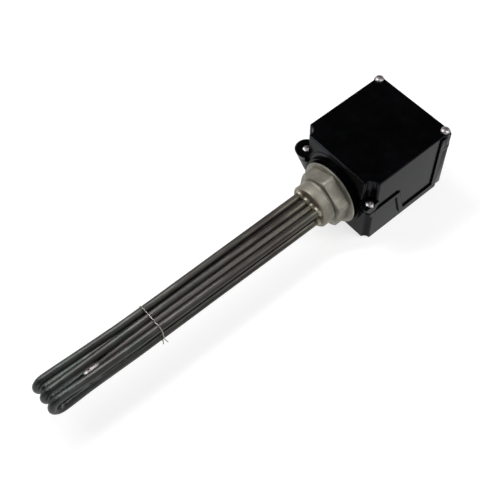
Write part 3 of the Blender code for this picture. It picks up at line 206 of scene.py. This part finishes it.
def annealed_sheath():
    """Stainless tube, greyed in the annealing furnace. To the eye it is dark grey with a green and a
    purple cast in patches, fine streaks along its length, and a lighter, warmer end at the plug."""
    made, tree, shader = new_material("stainless_tube_annealed", Metallic=1.0)
    place = add(tree, "TexCoord", out="Object")
    x = add(tree, "SeparateXYZ", {"Vector": place}, out="X")
    reach = add(tree, "MapRange", {"Value": x, "From Min": ELEMENT_END, "From Max": NECK_FACE})
    length_tone = add(tree, "ValToRGB", {0: reach},
                      stops=((0.0, "#4a4f4d"), (0.3, "#494947"), (0.65, "#413f3c"), (0.88, "#423f3b"),
                             (1.0, "#625d55")))
    # Temper colours, in patches some centimetres long
    cast = add(tree, "TexNoise", {"Vector": place, "Scale": 1 / (28 * MM), "Detail": 3.0})
    tint = add(tree, "ValToRGB", {0: cast}, stops=((0.38, "#e1e9e4"), (0.5, "#ffffff"), (0.62, "#eee6e9")))
    tinted = add(tree, "Mix", {"Factor": 1.0, MIX_A: length_tone, MIX_B: tint},
                 out=MIX_RESULT, data_type="RGBA", blend_type="MULTIPLY")
    stretched = add(tree, "Mapping", {"Vector": place, "Scale": (0.06, 1.0, 1.0)})
    streaks = add(tree, "TexNoise", {"Vector": stretched, "Scale": 1 / (1.8 * MM), "Detail": 5.0,
                                     "Roughness": 0.65})
    streak_mask = add(tree, "MapRange", {"Value": streaks, "From Min": 0.4, "From Max": 0.72, "To Max": 0.5})
    colour = add(tree, "Mix", {"Factor": streak_mask, MIX_A: tinted, MIX_B: linear("#2a2928")},
                 out=MIX_RESULT, data_type="RGBA")
    gloss = add(tree, "MapRange", {"Value": streaks, "From Min": 0.3, "From Max": 0.7,
                                   "To Min": 0.34, "To Max": 0.5})
    # Drawing lines, drawn coarser than real so that they show
    long_grain = add(tree, "Mapping", {"Vector": place, "Scale": (0.02, 1.0, 1.0)})
    lines = add(tree, "TexNoise", {"Vector": long_grain, "Scale": 1 / (0.8 * MM), "Detail": 3.0})
    bump = add(tree, "Bump", {"Height": lines, "Distance": 0.05 * MM, "Strength": 0.4})
    feed(tree, shader, Base_Color=colour, Roughness=gloss, Normal=bump)
    return made


def drawn_pocket_tube(tip_x):
    """The thin stainless pocket: the sheaths' dark grey, bleached pinkish where its tip was crimped
    and welded shut, over its last centimetre."""
    made, tree, shader = new_material("stainless_pocket_crimped")
    far_end = -260 * MM
    place = add(tree, "TexCoord", out="Object")
    x = add(tree, "SeparateXYZ", {"Vector": place}, out="X")
    reach = add(tree, "MapRange", {"Value": x, "From Min": far_end, "From Max": NECK_FACE})
    tone = add(tree, "ValToRGB", {0: reach}, stops=((0.0, "#5e5a59"), (0.6, "#63605c"), (1.0, "#736d64")))
    # The bleached length ends unevenly, since the noise adds to the place along the tube
    blotch = add(tree, "TexNoise", {"Vector": place, "Scale": 1 / (2.5 * MM), "Detail": 5.0})
    ragged = add(tree, "Math", {0: blotch, 1: 7 * MM, 2: x}, operation="MULTIPLY_ADD")
    bleached = add(tree, "MapRange", {"Value": ragged, "From Min": tip_x + 12.5 * MM,
                                      "From Max": tip_x + 9.5 * MM})
    colour = add(tree, "Mix", {"Factor": bleached, MIX_A: tone, MIX_B: linear("#efe6e4")},
                 out=MIX_RESULT, data_type="RGBA")
    crust = add(tree, "MapRange", {"Value": bleached, "To Min": 1.0, "To Max": 0.25})
    gloss = add(tree, "MapRange", {"Value": blotch, "From Min": 0.3, "From Max": 0.7,
                                   "To Min": 0.34, "To Max": 0.5})
    bump = add(tree, "Bump", {"Height": blotch, "Distance": 0.08 * MM, "Strength": 0.5})
    feed(tree, shader, Base_Color=colour, Metallic=crust, Roughness=gloss, Normal=bump)
    return made


def plated_metal(name, light, dark, low, high, cloud_size=2.5 * MM, metallic=1.0):
    """Plated or turned metal: two near tones in small clouds, with a gloss that varies with them
    and a fine pitting, drawn coarser than real, that softens the highlights."""
    made, tree, shader = new_material(name, Metallic=metallic)
    place = add(tree, "TexCoord", out="Object")
    clouds = add(tree, "TexNoise", {"Vector": place, "Scale": 1 / cloud_size, "Detail": 5.0,
                                    "Roughness": 0.6})
    tone = add(tree, "ValToRGB", {0: clouds}, stops=((0.32, dark), (0.68, light)))
    gloss = add(tree, "MapRange", {"Value": clouds, "From Min": 0.3, "From Max": 0.7,
                                   "To Min": high, "To Max": low})
    pits = add(tree, "TexNoise", {"Vector": place, "Scale": 1 / (0.5 * MM), "Detail": 3.0})
    bump = add(tree, "Bump", {"Height": pits, "Distance": 0.02 * MM, "Strength": 0.5})
    feed(tree, shader, Base_Color=tone, Roughness=gloss, Normal=bump)
    return made


def soft_moulding(name, light, dark, low, high, grain):
    """Moulded rubber or spark-eroded plastic: an even grain that breaks up the light."""
    made, tree, shader = new_material(name, IOR=1.5)
    place = add(tree, "TexCoord", out="Object")
    clouds = add(tree, "TexNoise", {"Vector": place, "Scale": 1 / (7 * MM), "Detail": 4.0})
    body = add(tree, "ValToRGB", {0: clouds}, stops=((0.3, dark), (0.7, light)))
    gloss = add(tree, "MapRange", {"Value": clouds, "From Min": 0.3, "From Max": 0.7,
                                   "To Min": low, "To Max": high})
    texture = add(tree, "TexNoise", {"Vector": place, "Scale": 1 / grain, "Detail": 2.0})
    bump = add(tree, "Bump", {"Height": texture, "Distance": 0.05 * MM, "Strength": 0.6})
    feed(tree, shader, Base_Color=body, Roughness=gloss, Normal=bump)
    return made


def fired_ceramic():
    """Unglazed steatite: chalky cream with a fine dusting of darker grains."""
    made, tree, shader = new_material("steatite_fired", IOR=1.6)
    place = add(tree, "TexCoord", out="Object")
    specks = add(tree, "TexNoise", {"Vector": place, "Scale": 1 / (0.6 * MM), "Detail": 4.0,
                                    "Roughness": 0.7})
    body = add(tree, "ValToRGB", {0: specks}, stops=((0.3, "#c9c4b4"), (0.55, "#e2dece"), (0.8, "#ece9dc")))
    gloss = add(tree, "MapRange", {"Value": specks, "From Min": 0.3, "From Max": 0.7,
                                   "To Min": 0.62, "To Max": 0.8})
    bump = add(tree, "Bump", {"Height": specks, "Distance": 0.04 * MM, "Strength": 0.6})
    feed(tree, shader, Base_Color=body, Roughness=gloss, Normal=bump)
    return made


def silver_braze():
    """Silver brazing alloy: pale yellow, rippled where it froze, with a little flux stain."""
    made, tree, shader = new_material("silver_braze_frozen", Metallic=1.0)
    place = add(tree, "TexCoord", out="Object")
    clouds = add(tree, "TexNoise", {"Vector": place, "Scale": 1 / (2.5 * MM), "Detail": 5.0,
                                    "Roughness": 0.6})
    tone = add(tree, "ValToRGB", {0: clouds}, stops=((0.3, "#7f7b6f"), (0.5, "#9c9687"), (0.7, "#bcb6a6")))
    gloss = add(tree, "MapRange", {"Value": clouds, "From Min": 0.3, "From Max": 0.7,
                                   "To Min": 0.58, "To Max": 0.44})
    ripples = add(tree, "TexNoise", {"Vector": place, "Scale": 1 / (1.2 * MM), "Detail": 3.0})
    bump = add(tree, "Bump", {"Height": ripples, "Distance": 0.12 * MM, "Strength": 0.7})
    feed(tree, shader, Base_Color=tone, Roughness=gloss, Normal=bump)
    return made


pocket_tip_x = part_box("sensor_pocket")[0][0]

FINISHES = {
    "moulding": polished_black_moulding(),
    "nickel": turned_nickel(),
    "sheath": annealed_sheath(),
    "pocket": drawn_pocket_tube(pocket_tip_x),
    "weld": plated_metal("stainless_weld_bead", "#f2ecea", "#d6cdca", 0.3, 0.45, 1.5 * MM, 0.4),
    "zinc": plated_metal("zinc_plated_steel", "#bdb8b9", "#938e8f", 0.34, 0.48),
    "wire": plated_metal("galvanised_wire", "#b5b3ab", "#86847d", 0.32, 0.5, 1.5 * MM),
    "brass": plated_metal("brass_turned", "#d0ab5c", "#ab8640", 0.22, 0.4),
    "copper": plated_metal("copper_drawn", "#c9805a", "#96583a", 0.25, 0.42),
    "rubber": soft_moulding("nitrile_rubber_moulded", "#1d1c1b", "#131212", 0.6, 0.8, 0.6 * MM),
    "polyamide": soft_moulding("grey_polyamide_moulded", "#55575a", "#46484b", 0.38, 0.52, 0.8 * MM),
    "thermostat": soft_moulding("glass_filled_nylon_moulded", "#3b3d40", "#2c2e30", 0.42, 0.58, 0.5 * MM),
    "ceramic": fired_ceramic(),
    "braze": silver_braze(),
}

# The first line whose words start a node's name gives its finish
NODE_FINISHES = (
    ("box_", "moulding"),
    ("screw_plug", "nickel"),
    ("heating_element_", "sheath"),
    ("sensor_pocket", "pocket"),
    ("cover_screw_", "zinc"),
    ("bracket_screw_", "zinc"),
    ("thermostat_bracket", "zinc"),
    ("terminal_pin_", "zinc"),
    ("pin_washer_", "zinc"),
    ("earth_washer", "zinc"),
    ("wire_tie", "wire"),
    ("ring_nut", "brass"),
    ("pin_nut_", "brass"),
    ("star_link", "brass"),
    ("earth_", "brass"),
    ("thermostat_spindle", "brass"),
    ("sensor_bulb", "copper"),
    ("capillary_tube", "copper"),
    ("plug_gasket", "rubber"),
    ("cover_seal", "rubber"),
    ("gland_washer", "rubber"),
    ("gland_insert", "rubber"),
    ("gland_", "polyamide"),
    ("thermostat_body", "thermostat"),
    ("insulator_bead_", "ceramic"),
)


def dress(thing, finish):
    thing.data.materials.clear()
    thing.data.materials.append(FINISHES[finish])


for node_name, thing in nodes.items():
    dress(thing, next(finish for start, finish in NODE_FINISHES if node_name.startswith(start)))


# Pieces of the scene's own

def keep(name, shape, finish, smooth_angle=40.0):
    """Turn a finished bmesh into a piece that moves with the heater."""
    bmesh.ops.recalc_face_normals(shape, faces=shape.faces)
    mesh = bpy.data.meshes.new(name)
    shape.to_mesh(mesh)
    shape.free()
    piece = bpy.data.objects.new(name, mesh)
    bpy.context.scene.collection.objects.link(piece)
    mesh.shade_smooth()
    mesh.set_sharp_from_angle(angle=math.radians(smooth_angle))
    dress(piece, finish)
    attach(piece, "heater")
    return piece


def spin_outline(shape, outline, axis, steps, closed):
    """Spin an outline of points once round an axis through the middle."""
    verts = [shape.verts.new(point) for point in outline]
    ends = verts[1:] + verts[:1] if closed else verts[1:]
    edges = [shape.edges.new(pair) for pair in zip(verts, ends)]
    bmesh.ops.spin(shape, geom=verts + edges, cent=(0, 0, 0), axis=axis, angle=2 * math.pi, steps=steps,
                   use_merge=True, use_duplicate=False)


def round_edges(shape, geom, radius, segments, affect="EDGES"):
    """Round edges, or the corners of a flat outline."""
    bmesh.ops.bevel(shape, geom=geom, affect=affect, offset=radius, segments=segments, profile=0.5,
                    material=-1)


def softened_plug():
    """The plug with its hexagon's corners rounded, as the polishing before the plating leaves them."""
    # The hexagon's corners are the sharp edges that run along the plug, further out than this
    least_distance = 28.0 * MM
    least_run = 3.0 * MM
    least_turn = math.radians(40)
    shape = bmesh.new()
    shape.from_mesh(nodes["screw_plug"].data)
    bmesh.ops.remove_doubles(shape, verts=shape.verts, dist=0.002 * MM)
    bmesh.ops.dissolve_limit(shape, angle_limit=math.radians(0.6), verts=shape.verts, edges=shape.edges)
    corners = []
    for edge in shape.edges:
        a, b = (vert.co for vert in edge.verts)
        distance = min(math.hypot(a.y, a.z), math.hypot(b.y, b.z))
        run = abs(a.x - b.x)
        if distance > least_distance and run > least_run and edge.calc_face_angle(0.0) > least_turn:
            corners.append(edge)
    round_edges(shape, corners, 2.0 * MM, 5)
    plug = keep("plug_soft_cornered", shape, "nickel", smooth_angle=25.0)
    flat_faces = plug.modifiers.new("flat_faces", "WEIGHTED_NORMAL")
    flat_faces.keep_sharp = True
    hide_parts("screw_plug")


def neck_lip():
    """The thin bright lip at the rear of the plug's neck, with the undercut left behind it."""
    shape = bmesh.new()
    profile = ((-2.6, -0.5), (-2.5, 0.0), (-1.8, 0.3), (-1.3, 0.45), (-1.0, 0.35), (-0.9, 0.0), (-0.9, -0.5))
    outline = [(x * MM, 0.0, NECK_RADIUS + proud * MM) for x, proud in profile]
    spin_outline(shape, outline, (1, 0, 0), steps=96, closed=True)
    keep("neck_lip", shape, "nickel", smooth_angle=50.0)


def braze_fillet(name, y, z, radius):
    """The concave fillet of braze between one tube and the plug's front face, uneven by hand."""
    shape = bmesh.new()
    reach = 1.9 * MM
    height = 2.6 * MM
    curve_steps = 6
    points = [(NECK_FACE + 0.3 * MM, radius + 0.2 * MM)]
    for i in range(curve_steps + 1):
        angle = math.pi / 2 * i / curve_steps
        points.append((NECK_FACE + 0.05 * MM - height * (1 - math.cos(angle)),
                       radius + 0.35 * MM + reach * (1 - math.sin(angle)) + 0.02 * MM))
    points.append((NECK_FACE - height, radius + 0.2 * MM))
    spin_outline(shape, [(x, 0.0, out) for x, out in points], (1, 0, 0), steps=28, closed=True)
    # Lumps round the fillet, which differ from tube to tube and leave its inner edge in the tube
    for vert in shape.verts:
        out = Vector((0.0, vert.co.y, vert.co.z))
        turn = math.atan2(out.z, out.y)
        lump = 0.16 * math.sin(3 * turn + y * 900) + 0.1 * math.sin(7 * turn + z * 700)
        spare = max(0.0, out.length - radius - 0.3 * MM)
        vert.co += out.normalized() * spare * lump
    bmesh.ops.translate(shape, vec=(0, y, z), verts=shape.verts)
    keep(name, shape, "braze")


def wrapped_wall(name, plan, low, high):
    """A thin wall over the box's rear, raised from its plan, with rounded corners and edges."""
    shape = bmesh.new()
    outline = shape.faces.new([shape.verts.new((x, y, low)) for x, y in plan])
    corners = [vert for vert in outline.verts if vert.co.x > BOX_REAR and abs(vert.co.y) > BOX_HALF_WIDTH]
    round_edges(shape, corners, 3.0 * MM, 6, affect="VERTICES")
    raised = bmesh.ops.extrude_face_region(shape, geom=list(shape.faces))
    tops = [item for item in raised["geom"] if isinstance(item, bmesh.types.BMVert)]
    bmesh.ops.translate(shape, vec=(0, 0, high - low), verts=tops)
    bmesh.ops.recalc_face_normals(shape, faces=shape.faces)
    outer = [edge for edge in shape.edges
             if edge.calc_face_angle(0.0) > math.radians(40)
             and all(abs(vert.co.y) > BOX_HALF_WIDTH or vert.co.x > BOX_REAR for vert in edge.verts)]
    round_edges(shape, outer, 0.45 * MM, 3)
    keep(name, shape, "moulding")


def rear_band():
    """The band round the box's rear that carries the base's bead up to the cover's top."""
    plan = ((WALL_START, -SIDE_OUTER), (REAR_OUTER, -SIDE_OUTER), (REAR_OUTER, SIDE_OUTER),
            (WALL_START, SIDE_OUTER), (WALL_START, SIDE_INNER), (REAR_INNER, SIDE_INNER),
            (REAR_INNER, -SIDE_INNER), (WALL_START, -SIDE_INNER))
    wrapped_wall("rear_band", plan, BAND_LOW, BAND_TOP)


def rear_corner(name, side):
    """The thickened upright corner below that band, on one side."""
    outer = side * SIDE_OUTER
    inner = side * SIDE_INNER
    back_end = side * (BOX_HALF_WIDTH - CORNER_WRAP)
    plan = ((WALL_START, outer), (REAR_OUTER, outer), (REAR_OUTER, back_end), (REAR_INNER, back_end),
            (REAR_INNER, inner), (WALL_START, inner))
    wrapped_wall(name, plan, CORNER_LOW, BAND_LOW + CORNER_LAP)


def rear_strip(name, side):
    """The upright bead at the front edge of the rear band, on one side of the box. Its face lies a
    little under that of the base's own bead, which it meets."""
    length = 4.8 * MM
    depth = 2.3 * MM
    proud = 1.66 * MM
    shape = bmesh.new()
    bmesh.ops.create_cube(shape, size=1.0)
    middle = (BAND_FRONT + length / 2, side * (BOX_HALF_WIDTH + proud - depth / 2), (BAND_LOW + BAND_TOP) / 2)
    bmesh.ops.scale(shape, vec=(length, depth, BAND_TOP - BAND_LOW), verts=shape.verts)
    bmesh.ops.translate(shape, vec=middle, verts=shape.verts)
    round_edges(shape, list(shape.edges), 0.4 * MM, 3)
    keep(name, shape, "moulding")


def pocket_end():
    """Where the pocket's tube ends: the middle of its tip, and the direction it points."""
    places = [vert.co for vert in nodes["sensor_pocket"].data.vertices]
    near = [co for co in places if co.x < pocket_tip_x + 1.0 * MM]
    far = [co for co in places if pocket_tip_x + 14 * MM < co.x < pocket_tip_x + 40 * MM]
    tip = sum(near, Vector()) / len(near)
    back = sum(far, Vector()) / len(far)
    return tip, (tip - back).normalized()


def weld_bead():
    """The bright bead that the welder left on the pocket's crimped tip, on a pinched neck."""
    tip, onward = pocket_end()
    shape = bmesh.new()
    profile = ((-1.5, 1.0), (0.6, 0.7), (1.6, 0.7), (2.0, 1.7), (2.9, 2.6), (3.8, 2.6), (4.3, 2.2),
               (4.8, 2.6), (5.6, 2.4), (6.2, 1.4))
    outline = [(0.0, radius * MM, along * MM) for along, radius in profile]
    spin_outline(shape, outline, (0, 0, 1), steps=20, closed=False)
    bmesh.ops.holes_fill(shape, edges=[edge for edge in shape.edges if edge.is_boundary])
    # A hand-made bead is rippled along its length and wider than it is high
    for vert in shape.verts:
        turn = math.atan2(vert.co.y, vert.co.x)
        ripple = 1 + 0.09 * math.sin(1900 * vert.co.z) + 0.07 * math.sin(2 * turn)
        vert.co.x *= ripple * 1.15
        vert.co.y *= ripple * 0.9
    aim = onward.to_track_quat("Z", "Y").to_matrix().to_4x4()
    bmesh.ops.transform(shape, matrix=Matrix.Translation(tip) @ aim, verts=shape.verts)
    keep("pocket_weld_bead", shape, "weld", smooth_angle=60.0)


softened_plug()
neck_lip()
rear_band()
for hand, side in (("right", -1), ("left", 1)):
    rear_corner(f"rear_corner_{hand}", side)
    rear_strip(f"rear_strip_{hand}", side)
for number, pitch in enumerate(LEG_PITCHES, start=1):
    braze_fillet(f"braze_upper_{number}", pitch, LEG_HEIGHT, SHEATH_RADIUS)
    braze_fillet(f"braze_lower_{number}", pitch, -LEG_HEIGHT, SHEATH_RADIUS)
braze_fillet("braze_pocket", *POCKET_PLACE, POCKET_RADIUS)
weld_bead()


# Floor, lights and camera

FLOOR_GAP = 0.3 * MM
FLOOR_REACH = 6.0
FLOOR_MIDDLE = -0.15

# The room's tones, from straight down to straight up
ROOM_TONES = ((0.0, "#e7e7e7"), (0.5, "#ffffff"), (0.56, "#dadada"), (0.62, "#a2a2a2"),
              (0.7, "#818181"), (0.8, "#595959"), (1.0, "#3f3f3f"))

# Each lamp's place, the point it faces, its width and height, and its watts
LAMPS = {
    "window_left": ((-0.45, 1.0, 1.0), (-0.05, 0.0, 0.0), (1.1, 0.7), 9.0),
    "window_right": ((0.5, -1.1, 1.1), (0.0, 0.0, 0.0), (1.3, 0.9), 7.0),
    "strip_over_tubes": ((-0.1, 0.3, 0.6), (-0.2, 0.0, 0.0), (0.42, 0.1), 2.2),
    "window_behind": ((0.42, -0.5, 1.0), (0.0, 0.0, 0.0), (0.35, 0.5), 3.5),
}

# Fitted to the photograph's straight edges. Its columns are the camera's right, up and backward
# directions and its place.
CAMERA_FRAME = (
    (0.76644108, 0.56107864, -0.3126641, -0.3392),
    (-0.64109432, 0.63824277, -0.42619742, -0.3282),
    (-0.03957467, 0.52710239, 0.8488798, 0.6854),
    (0.0, 0.0, 0.0, 1.0),
)


def white_paper():
    """Matt white paper: a sheet that looks white where it is lit, also in reflections, and keeps a
    soft shadow, while to the light that it passes on it is plain pale paper."""
    made, tree, shader = new_material("paper_white_matt")
    tree.nodes.remove(shader)
    camera_ray, glossy_ray, transmission_ray = (
        add(tree, "LightPath", out=f"Is {kind} Ray") for kind in ("Camera", "Glossy", "Transmission"))
    seen = add(tree, "Math", {0: camera_ray, 1: glossy_ray}, operation="MAXIMUM")
    shown = add(tree, "Math", {0: seen, 1: transmission_ray}, operation="MAXIMUM")
    plain_paper = add(tree, "BsdfDiffuse", {"Color": linear("#e4e4e4")})
    shaded = add(tree, "BsdfDiffuse", {"Color": linear("#adadad")})
    white = add(tree, "Emission", {"Color": linear("#ffffff"), "Strength": 0.72})
    lifted = add(tree, "AddShader", {0: shaded, 1: white})
    both = add(tree, "MixShader", {0: shown, 1: plain_paper, 2: lifted})
    feed(tree, tree.nodes["Material Output"], Surface=both)
    return made


def paper_floor():
    shape = bmesh.new()
    bmesh.ops.create_grid(shape, x_segments=2, y_segments=2, size=FLOOR_REACH)
    height = cad_bounds[0][2] - FLOOR_GAP
    bmesh.ops.translate(shape, vec=(FLOOR_MIDDLE, 0.0, height), verts=shape.verts)
    mesh = bpy.data.meshes.new("floor")
    shape.to_mesh(mesh)
    shape.free()
    floor = bpy.data.objects.new("floor", mesh)
    bpy.context.scene.collection.objects.link(floor)
    mesh.materials.append(white_paper())


def studio_room():
    """A white room that is bright round the horizon and falls off to a dark ceiling."""
    world = bpy.data.worlds.new("studio")
    bpy.context.scene.world = world
    world.use_nodes = True
    tree = world.node_tree
    direction = add(tree, "TexCoord", out="Generated")
    height = add(tree, "SeparateXYZ", {"Vector": direction}, out="Z")
    lifted = add(tree, "MapRange", {"Value": height, "From Min": -1.0})
    room = add(tree, "ValToRGB", {0: lifted}, stops=ROOM_TONES)
    feed(tree, tree.nodes["Background"], Color=room)


def soft_lamp(name, place, aim, size, power):
    lamp = bpy.data.lights.new(name, "AREA")
    lamp.shape = "RECTANGLE"
    lamp.size, lamp.size_y = size
    lamp.energy = power
    thing = bpy.data.objects.new(name, lamp)
    thing.location = place
    thing.rotation_euler = (Vector(aim) - Vector(place)).to_track_quat("-Z", "Y").to_euler()
    bpy.context.scene.collection.objects.link(thing)


def photo_camera():
    data = bpy.data.cameras.new("camera")
    data.sensor_width = 36.0
    data.lens = 63.75
    data.clip_start = 0.02
    camera = bpy.data.objects.new("camera", data)
    camera.matrix_world = Matrix(CAMERA_FRAME)
    bpy.context.scene.collection.objects.link(camera)
    return camera


paper_floor()
studio_room()
for name, lamp in LAMPS.items():
    soft_lamp(name, *lamp)
bpy.context.scene.camera = photo_camera()
bpy.context.scene.view_settings.view_transform = "Standard"
